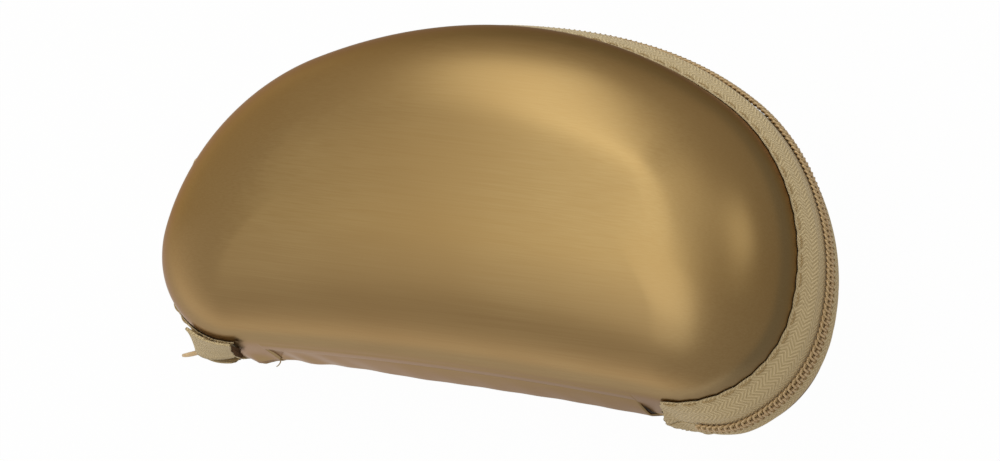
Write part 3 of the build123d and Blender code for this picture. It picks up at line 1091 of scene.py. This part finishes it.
@dataclass
class TapeEnds:
    """The left ends of the tapes: each is folded back over itself, flares off the shell along its
    lower edge, and is cut off rough, with frayed fibres whose dark brown is partly painted shadow
    at the cut, a coil end and a loose thread."""

    path: TapePath = TapePath()
    thickness: float = 0.5 * MM
    bed: float = 0.98 * MM  # where the fold lies on the tape beneath, off the wall
    fold: float = 11.7 * MM  # of the fold, from the tip along the wall
    under: float = 6.0 * MM  # how far the folded part runs back
    rise: float = 0.3 * MM  # of the outer layer's upper edge, at the fold
    flare_power: float = 1.4  # of the way down, by which the rest of it stands off further
    lower_fall: float = 2.0 * MM  # how much lower the lower edge is at the fold
    uneven: float = 0.35 * MM  # of the cut
    rows: int = 14
    cut_columns: int = 30  # of points from the cut to the fold
    bend_columns: int = 9  # round the fold, and again along what lies beneath
    weave: Pair = (30 * MM, 12 * MM)  # length and width of the weave that is drawn on it
    size: Pair = (10.6 * MM, 21.4 * MM)  # width and length of the lid's folded end, laid flat
    seeds: tuple[int, int] = (9, 2)  # of the uneven cut, and of the fibres
    fibres: int = 90
    fibre: Triple = (1.0 * MM, 0.6 * MM, 0.5 * MM)  # length, how uneven that is, and its droop
    fibre_foot: Triple = (0.3 * MM, -0.1 * MM, 0.6 * MM)  # spread along X, Y, and spread up
    fibre_way: Triple = (0.08, -0.55, 0.5)  # for 1 along X: spread along Y, Z, and its spread
    fibre_radius: Pair = (0.16 * MM, 0.05 * MM)  # at the foot and at the tip
    coil_end: tuple[Triple, ...] = (  # three places on it, in millimetres
        (-70.6, -40.9, 29.0),
        (-74.3, -41.9, 28.1),
        (-77.4, -42.3, 26.9),
    )
    thread_end: tuple[Triple, ...] = (
        (-48.9, -40.6, 31.0),
        (-49.0, -41.6, 30.2),
        (-49.9, -42.6, 29.9),
    )

    def flap(self, cut: Pair, top: float, bottom: float, fall: float, flare: float) -> np.ndarray:
        """Middle surface of a folded end.

        In the plane of distance along the wall and distance off it, the outer layer runs
        from the cut to the fold and lifts by an ease curve, half a circle turns it back, and
        the rest lies on the tape beneath.

        Args:
            cut: where the cut lies at the upper and the lower edge.
            top: height of the upper edge at the tip.
            bottom: height of the lower edge at the tip.
            fall: how much lower the upper edge is at the fold.
            flare: how much further the lower edge stands off there than the upper one.

        Returns:
            (columns, rows, 3) points of the lid's half.
        """
        down = np.linspace(0, 1, self.rows)[None, :]
        draw = np.random.default_rng(self.seeds[0])
        rough = draw.uniform(-self.uneven, self.uneven, (1, self.rows))
        begin = cut[0] + (cut[1] - cut[0]) * down + rough
        outer = begin + (self.fold - begin) * np.linspace(0, 1, self.cut_columns)[:, None]
        stand = self.rise + flare * down**self.flare_power
        lift = self.bed + stand * smooth(outer / self.fold)
        radius = (lift[-1:] - self.bed) / 2
        share = np.linspace(0, 1, self.bend_columns)[1:, None]
        bend = self.fold + radius * np.sin(math.pi * share)
        bend_off = self.bed + radius * (1 + np.cos(math.pi * share))
        back = self.fold - self.under * share + 0 * down
        far = np.concatenate([outer, bend, back])
        off = np.concatenate([lift, bend_off, np.full_like(back, self.bed)])
        found = self.path.at(self.path.length(0) - far.ravel(), 0)[:2]
        wall, out = (part.reshape(*far.shape, 2) for part in found)
        slope = far / self.fold
        high = top - fall * slope
        low = bottom - self.lower_fall * np.clip(slope, 0, 1)
        return lifted(wall, out, off, high + (low - high) * down)

    def build(self, woven: Material, nylon: Material, thread: Material) -> list[bpy.types.Object]:
        """Makes both folded ends, in place of their solids, and the loose bits at them.

        Args:
            woven: finish of the tapes.
            nylon: finish of the coil.
            thread: finish of the sewing.

        Returns:
            The five pieces.
        """
        lid = self.flap(
            cut=(-1.6 * MM, 2.4 * MM), top=13.6 * MM, bottom=4.6 * MM, fall=1.0 * MM, flare=3.3 * MM
        )
        base = self.flap(
            cut=(4.6 * MM, 5.8 * MM), top=6.0 * MM, bottom=2.6 * MM, fall=0.5 * MM, flare=3.4 * MM
        )
        pieces = []
        for half, sheet in ((Half.LID, lid), (Half.BASE, base)):
            points, faces = thickened(sheet, self.thickness)
            run = np.linspace(0, self.weave[0], len(sheet))[:, None]
            drop = np.linspace(0, self.weave[1], self.rows)
            uv = np.stack(np.broadcast_arrays(run, np.concatenate([drop, drop[::-1]])), -1)
            name = f"{half.value}_folded_tape_end"
            piece = make_piece(name, on_half(points, half), faces, woven, uv)
            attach(piece, half.value)
            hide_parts(f"{half.value}_tape_tail")
            pieces.append(piece)
        # frayed fibres, dark brown partly as real fraying and partly as painted shadow in the cut
        fray_and_painted_shadow = SpunThread("frayed_fibres_and_painted_shadow", "#5E3E1A", "#38240C", roughness=0.9).make()
        return [
            *pieces,
            self.fray(lid[0], fray_and_painted_shadow),
            self.strand("loose_coil_end", self.coil_end, 0.6 * MM, nylon),
            self.strand("loose_thread", self.thread_end, 0.14 * MM, thread),
        ]

    def fray(self, cut: np.ndarray, fray_and_painted_shadow: Material) -> bpy.types.Object:
        """Short fibres that stick out of the cut, each a thin tube that droops as a parabola. Their
        dark brown is partly real fraying and partly painted shadow at the cut.

        Args:
            cut: (rows, 3) points down the cut.
            fray_and_painted_shadow: their finish, dark brown partly as painted shadow.

        Returns:
            The one piece.
        """
        draw = np.random.default_rng(self.seeds[1])
        place, aside, up, long, lean = draw.uniform(-1, 1, (5, self.fibres))
        (length, spread, droop), (along, out, high) = self.fibre, self.fibre_foot
        foot = cut[((place + 1) / 2 * (len(cut) - 3)).astype(int) + 1]
        foot = foot + np.stack([along * aside, np.full(self.fibres, out), high * up], -1)
        across, fall, rise = self.fibre_way
        way = np.stack([np.ones(self.fibres), across * lean, fall + rise * up], -1)
        share = np.linspace(0, 1, 5)
        reach = (length + spread * long)[:, None] * share
        lines = foot[:, None] + reach[..., None] * way[:, None]
        lines[..., 2] -= droop * share**2
        radius = np.linspace(*self.fibre_radius, len(share))
        points, faces = capped_tubes(tube_along(lines, radius, 4, (0, 1, 0)))
        piece = make_piece("frayed_fibres_and_painted_shadow", points, faces, fray_and_painted_shadow)
        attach(piece, "lid")
        return piece

    def strand(
        self, name: str, route: tuple[Triple, ...], radius: float, finish: Material
    ) -> bpy.types.Object:
        """A short loose strand along a parabola through three places, thinner at its end.

        Args:
            name: of the piece.
            route: the three places, in millimetres.
            radius: at its start.
            finish: of the strand.

        Returns:
            The piece.
        """
        a, b, c = np.array(route) * MM
        t = np.linspace(0, 1, 9)[:, None]
        line = a * (1 - t) * (1 - 2 * t) + b * 4 * t * (1 - t) + c * t * (2 * t - 1)
        taper = radius * (1 - 0.35 * t[:, 0] ** 4)
        points, faces = capped_tubes(tube_along(line, taper, 8, (0, 0.1, 1)))
        piece = make_piece(name, points, faces, finish)
        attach(piece, "lid")
        return piece


@dataclass
class SewnRow:
    """The row of stitches that holds a tape: short threads that dip into the tape's edge."""

    half: Half
    path: TapePath = TapePath()
    pitch: float = 4.4 * MM
    length: float = 3.0 * MM
    radius: float = 0.2 * MM
    margin: float = 0.9 * MM  # below the tape's sewn edge
    thickness: float = 0.45 * MM  # of the tape there
    proud: float = 0.1 * MM  # of the thread's middle, off the tape
    sink: float = 0.3 * MM  # of its two ends
    stop_short: float = 2 * MM  # of the left tip
    steps: int = 9
    sides: int = 6

    def build(self, thread: Material) -> list[bpy.types.Object]:
        """Makes every stitch at once: an arc along the path that sinks at its two ends.

        Args:
            thread: its finish.

        Returns:
            The one piece.
        """
        total = self.path.length(0)
        centres = np.arange(self.pitch / 2, total - self.stop_short, self.pitch)
        share = np.linspace(-0.5, 0.5, self.steps)
        along = (centres[:, None] + share * self.length).ravel()
        wall, out, standoff = self.path.at(along, 0)
        edge = self.path.edge_at(along, self.half)
        ease = smooth(self.margin / (edge - self.path.hang(self.half)))
        sink = np.tile(4 * share**2, len(centres)) * self.sink
        tape = self.path.clearance + standoff * ease + self.thickness
        line = lifted(wall, out, tape + self.proud - sink, edge - self.margin)
        line = line.reshape(len(centres), self.steps, 3)
        points, faces = capped_tubes(tube_along(line, self.radius, self.sides, (0, 0, 1)))
        points, body = on_half(points, self.half), self.half.value
        piece = make_piece(f"{body}_sewing", points, faces, thread)
        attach(piece, body)
        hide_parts(f"{body}_stitching")
        return [piece]


@dataclass
class Coil:
    """One row of the zipper: a single nylon filament wound in flat loops, each with a heel on
    the tape and a head that passes the parting plane between two loops of the other row."""

    half: Half
    stop: float  # distance along the path where the row ends
    shift: float  # of this row's loops along the path, in loops
    path: TapePath = TapePath()
    face: float = 2.75 * MM  # the tape's front face, off the wall
    first: float = 4.3 * MM  # where the row starts, along the path
    pitch: float = 1.36 * MM
    wire: float = 0.29 * MM  # half the filament's width at the heel
    head: float = 0.37 * MM  # and at the head, which is pressed flat and wide
    height: float = 1.35 * MM  # of a loop, off the tape
    heel_drop: float = 0.16  # share of that by which a loop's front is lower at the heel
    reach: float = 1.85 * MM  # of the heels above the parting plane
    mesh: float = 0.75 * MM  # of the heads past it
    heel: Pair = (0.34, 0.32)  # where in a turn it steps along, and how much of the turn that is
    oval: Pair = (0.7, 0.8)  # powers that square the loops, up the tape and off it
    tilt: float = 0.013  # of the section, so that it has a way up at every point
    turn_points: int = 10
    sides: int = 5
    thread: float = 0.13 * MM  # radius of the thread along the heels
    thread_drop: float = 0.3 * MM  # below them
    thread_off: Pair = (0.42, 0.4)  # shares of the height: between loops, and how far it rises
    thread_steps: int = 6  # for each loop

    def centre_line(self) -> tuple[np.ndarray, np.ndarray, np.ndarray]:
        """The filament's centre line.

        Round each loop it is an oval in height and distance off the tape, lower at the heel
        than at the head. It steps along by a pitch at the heel alone, so the heads stay
        square to the path.

        Returns:
            (n, 3) points, (n, 3) outward directions, and (n) radii.
        """
        loops = int((self.stop - self.first) / self.pitch)
        turn = np.arange(loops * self.turn_points) / self.turn_points
        part = turn % 1.0
        angle = 2 * np.pi * part
        step = np.floor(turn) + smooth((part - self.heel[0]) / self.heel[1])
        along = self.first + (step + self.shift) * self.pitch
        wall, out, standoff = self.path.at(along, self.face)
        middle = (self.reach - self.mesh) / 2
        half_span = (self.reach + self.mesh) / 2 - self.wire
        tall = -np.sign(np.cos(angle)) * np.abs(np.cos(angle)) ** self.oval[0]
        bulge = np.sign(np.sin(angle)) * np.abs(np.sin(angle)) ** self.oval[1]
        base = self.face - self.path.standoff + standoff
        at_heel = smooth(0.5 + tall / 2)
        drop = self.heel_drop * self.height * at_heel * (bulge > 0)
        off = base + self.height / 2 + (self.height / 2 - self.wire) * bulge - drop * bulge
        radius = self.head + (self.wire - self.head) * at_heel
        outward = np.concatenate([out, np.zeros((len(out), 1))], 1)
        return lifted(wall, out, off, middle + half_span * tall), outward, radius

    def build(self, nylon: Material, thread: Material) -> list[bpy.types.Object]:
        """Makes the filament, and the row of thread that sews its loops to the tape.

        Args:
            nylon: finish of the filament.
            thread: finish of the sewing.

        Returns:
            Both pieces.
        """
        line, out, radius = self.centre_line()
        rings = tube_along(line, radius, self.sides, out + np.array([0, 0, self.tilt]))
        points, faces = capped_tubes(rings)
        points, body = on_half(points, self.half), self.half.value
        piece = make_piece(f"{body}_coil_filament", points, faces, nylon)
        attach(piece, body)
        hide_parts(f"{body}_coil")
        return [piece, self.sew(thread)]

    def sew(self, thread: Material) -> bpy.types.Object:
        """A thread along the heels: it rises over each loop and dips between, as a cosine.

        Args:
            thread: its finish.

        Returns:
            The piece.
        """
        along = np.arange(self.first, self.stop, self.pitch / self.thread_steps)
        wall, out, standoff = self.path.at(along, self.face)
        loops = (along - self.first) / self.pitch - self.shift
        over = 0.5 - 0.5 * np.cos(2 * np.pi * loops)
        base = self.face - self.path.standoff + standoff
        off = base + self.height * (self.thread_off[0] + self.thread_off[1] * over)
        line = lifted(wall, out, off, self.reach - self.thread_drop)
        points, faces = capped_tubes(tube_along(line, self.thread, 6, (0, 0, 1)))
        points, body = on_half(points, self.half), self.half.value
        piece = make_piece(f"{body}_coil_thread", points, faces, thread)
        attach(piece, body)
        return piece


@dataclass
class Slider:
    """The slider's body, its bridge and the pull tab, which keep the meshes of the CAD."""

    nodes: tuple[str, ...] = ("slider_body", "slider_bridge", "pull_tab")

    def build(self, plated: Material) -> list[bpy.types.Object]:
        """Dresses each node.

        Args:
            plated: their finish.

        Returns:
            The nodes' objects.
        """
        pieces = [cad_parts[node] for node in self.nodes]
        for piece in pieces:
            dress(piece, plated)
        return pieces


# ---------------------------------------------------------------------------------------
# Studio


@dataclass(frozen=True)
class Softbox:
    """A soft rectangular lamp."""

    name: str
    place: Triple  # of its middle
    size: Pair
    level: float  # how bright its face looks, where 1 is white
    hung_level: bool = False  # it faces straight down, with its sides along X and Y
    colour: str = "#FAFFFA"

    def build(self) -> None:
        """Hangs the lamp, facing the case or straight down: power = level * pi * area."""
        data = bpy.data.lights.new(self.name, "AREA")
        data.shape = "RECTANGLE"
        data.size, data.size_y = self.size
        data.energy = self.level * math.pi * self.size[0] * self.size[1]
        data.color = linear(self.colour)[:3]
        lamp = bpy.data.objects.new(self.name, data)
        lamp.location = self.place
        lamp.visible_camera = False
        if not self.hung_level:
            aim = Vector((0, 0, PARTING)) - Vector(self.place)
            lamp.rotation_euler = aim.to_track_quat("-Z", "Y").to_euler()
        bpy.context.scene.collection.objects.link(lamp)


@dataclass
class Studio:
    """A pale floor, soft lamps, and the camera."""

    lamps: tuple[Softbox, ...] = (
        Softbox("overhead_softbox", (-0.085, 0.26, 0.9), (0.49, 1.16), 0.66, hung_level=True),
        Softbox("wide_softbox", (-0.208, 0.045, 0.91), (0.734, 1.4), 0.72, hung_level=True),
        Softbox("rear_softbox", (-0.44, 0.9, 0.72), (0.42, 0.7), 1.75),
        Softbox("right_softbox", (0.6, 0.6, 0.9), (0.36, 0.36), 1.15),
    )
    floor_colour: str = "#E4E3E0"
    floor_radius: float = 0.9
    floor_height: float = -0.2 * MM
    floor_points: int = 96
    floor_seen: float = 0.98  # share of plain white in what the camera sees, the rest is board
    glow: Pair = (0.3, 0.8)  # of the floor to reflections, on the right and on the left
    glow_way: Triple = (-0.75, -0.65, 0.0)  # the way in which it grows
    glow_span: Pair = (-0.06, 0.08)  # and the distances that way, between which it does
    room_colour: str = "#FFF6E9"
    walls: Pair = (0.6, 0.42)  # of the room, on the left and on the right
    low_wall: float = 0.55  # how much lighter it is low down in front of the hinge side
    low_span: Pair = (0.5, 0.1)  # heights of a direction, between which that grows
    front_span: Pair = (-0.75, -1.3)  # and sums of its X and Y
    camera_place: Triple = (0.6415, -0.3112, 1.1272)
    camera_turn: Triple = (13.59, 30.37, 14.83)  # degrees
    lens: float = 206.75
    sensor: float = 36.0

    def build(self) -> None:
        """Sets the floor, the world, the lamps and the camera."""
        self.build_floor()
        self.build_world()
        for lamp in self.lamps:
            lamp.build()
        self.build_camera()

    def build_floor(self) -> None:
        """A plain disc, near white to the camera and, on the left, to reflections."""
        turn = np.linspace(0, 2 * np.pi, self.floor_points, endpoint=False)
        rim = np.stack([np.cos(turn), np.sin(turn), np.zeros_like(turn)], -1) * self.floor_radius
        rim[:, 2] = self.floor_height
        mesh = bpy.data.meshes.new("floor")
        mesh.from_pydata(rim.tolist(), [], [list(range(self.floor_points))])
        floor = bpy.data.objects.new("floor", mesh)
        bpy.context.scene.collection.objects.link(floor)
        material, tree = new_material("painted_board")
        board = {"Base Color": linear(self.floor_colour), "Roughness": 0.9}
        matt = add_node(tree, "BsdfPrincipled", board).outputs[0]
        place = add_node(tree, "TexCoord").outputs["Object"]
        way = add_node(tree, "VectorMath", {0: place, 1: self.glow_way}, operation="DOT_PRODUCT")
        (start, end), (low, high) = self.glow_span, self.glow
        span = {"From Min": start, "From Max": end, "To Min": low, "To Max": high}
        level = add_node(tree, "MapRange", {"Value": way.outputs["Value"]} | span).outputs[0]
        rays = add_node(tree, "LightPath").outputs
        kinds = ("Camera", "Glossy", "Transmission")
        camera, glossy, through = (rays[f"Is {kind} Ray"] for kind in kinds)
        plain = add_node(tree, "Math", {0: camera, 1: through}, operation="MAXIMUM").outputs[0]
        strength = add_node(tree, "Math", {0: plain, 1: level}, operation="MAXIMUM").outputs[0]
        glow = add_node(tree, "Emission", {"Color": (1, 1, 1, 1), "Strength": strength}).outputs[0]
        clear = add_node(tree, "Math", {0: glossy, 1: through}, operation="MAXIMUM").outputs[0]
        parts = {0: camera, 1: self.floor_seen, 2: clear}
        share = add_node(tree, "Math", parts, operation="MULTIPLY_ADD").outputs[0]
        mixed = add_node(tree, "MixShader", {0: share, 1: matt, 2: glow})
        add_node(tree, "OutputMaterial", {"Surface": mixed.outputs[0]})
        mesh.materials.append(material)

    def build_world(self) -> None:
        """A grey room, lighter on the left side of the case, white to the camera."""
        world = bpy.data.worlds.new("room")
        bpy.context.scene.world = world
        world.use_nodes = True
        tree = world.node_tree
        tree.nodes.clear()
        way = add_node(tree, "SeparateXYZ", {0: add_node(tree, "TexCoord").outputs["Generated"]})
        across, along, up = way.outputs
        span = {"From Min": -1.0, "From Max": 1.0, "To Min": self.walls[0], "To Max": self.walls[1]}
        tone = add_node(tree, "MapRange", {"Value": across} | span).outputs[0]
        high, low = self.low_span
        span = {"From Min": high, "From Max": low, "To Min": 0.0, "To Max": self.low_wall}
        wall = add_node(tree, "MapRange", {"Value": up} | span).outputs[0]
        side = add_node(tree, "Math", {0: across, 1: along}, operation="ADD").outputs[0]
        span = {"From Min": self.front_span[0], "From Max": self.front_span[1]}
        front = add_node(tree, "MapRange", {"Value": side} | span).outputs[0]
        both = add_node(tree, "Math", {0: wall, 1: front, 2: tone}, operation="MULTIPLY_ADD")
        camera = add_node(tree, "LightPath").outputs["Is Camera Ray"]
        level = add_node(tree, "Math", {0: both.outputs[0], 1: camera}, operation="MAXIMUM")
        light = {"Color": linear(self.room_colour), "Strength": level.outputs[0]}
        shader = add_node(tree, "Background", light)
        add_node(tree, "OutputWorld", {"Surface": shader.outputs[0]})

    def build_camera(self) -> None:
        """A long lens, above and to the right of the hinge side."""
        data = bpy.data.cameras.new("camera")
        data.sensor_width, data.lens = self.sensor, self.lens
        data.clip_start, data.clip_end = 0.05, 20
        camera = bpy.data.objects.new("camera", data)
        camera.rotation_mode = "ZXY"
        camera.location = self.camera_place
        camera.rotation_euler = [math.radians(a) for a in self.camera_turn]
        bpy.context.scene.collection.objects.link(camera)
        bpy.context.scene.camera = camera
        bpy.context.scene.view_settings.view_transform = "Standard"


def main() -> None:
    """Builds the pieces in order, reports each with its number of faces, and sets up the studio."""
    logging.basicConfig(level=logging.INFO, format="%(message)s")
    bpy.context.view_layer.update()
    film = SatinFilm().make()
    knit = KnitLining().make()
    woven = HerringboneTape().make()
    thread = SpunThread().make()
    nylon = SpunThread(
        "nylon_filament", "#E2C7A0", "#C4A679", roughness=0.38, grain=1.5 * MM
    ).make()
    plated = PlatedZinc().make()
    at_slider = TapePath().length(Coil.face) - 46 * MM  # the base's row runs a little further on
    pieces = HingeStrip().build(film, knit)
    for half in Half:
        if half is Half.LID:
            shell, coil = Shell(half, crown=4.0 * MM), Coil(half, at_slider, shift=0.0)
        else:
            shell, coil = Shell(half, draft=0.5 * MM), Coil(half, at_slider + 6 * MM, shift=0.5)
        pieces += shell.build(film, knit)
        pieces += ZipTape(half).build(woven)
        pieces += SewnRow(half).build(thread)
        pieces += coil.build(nylon, thread)
    pieces += TapeEnds().build(woven, nylon, thread)
    pieces += Slider().build(plated)
    for piece in pieces:
        LOG.info("%s: %d faces", piece.name, len(piece.data.polygons))
    Studio().build()


if __name__ == "__main__":
    main()
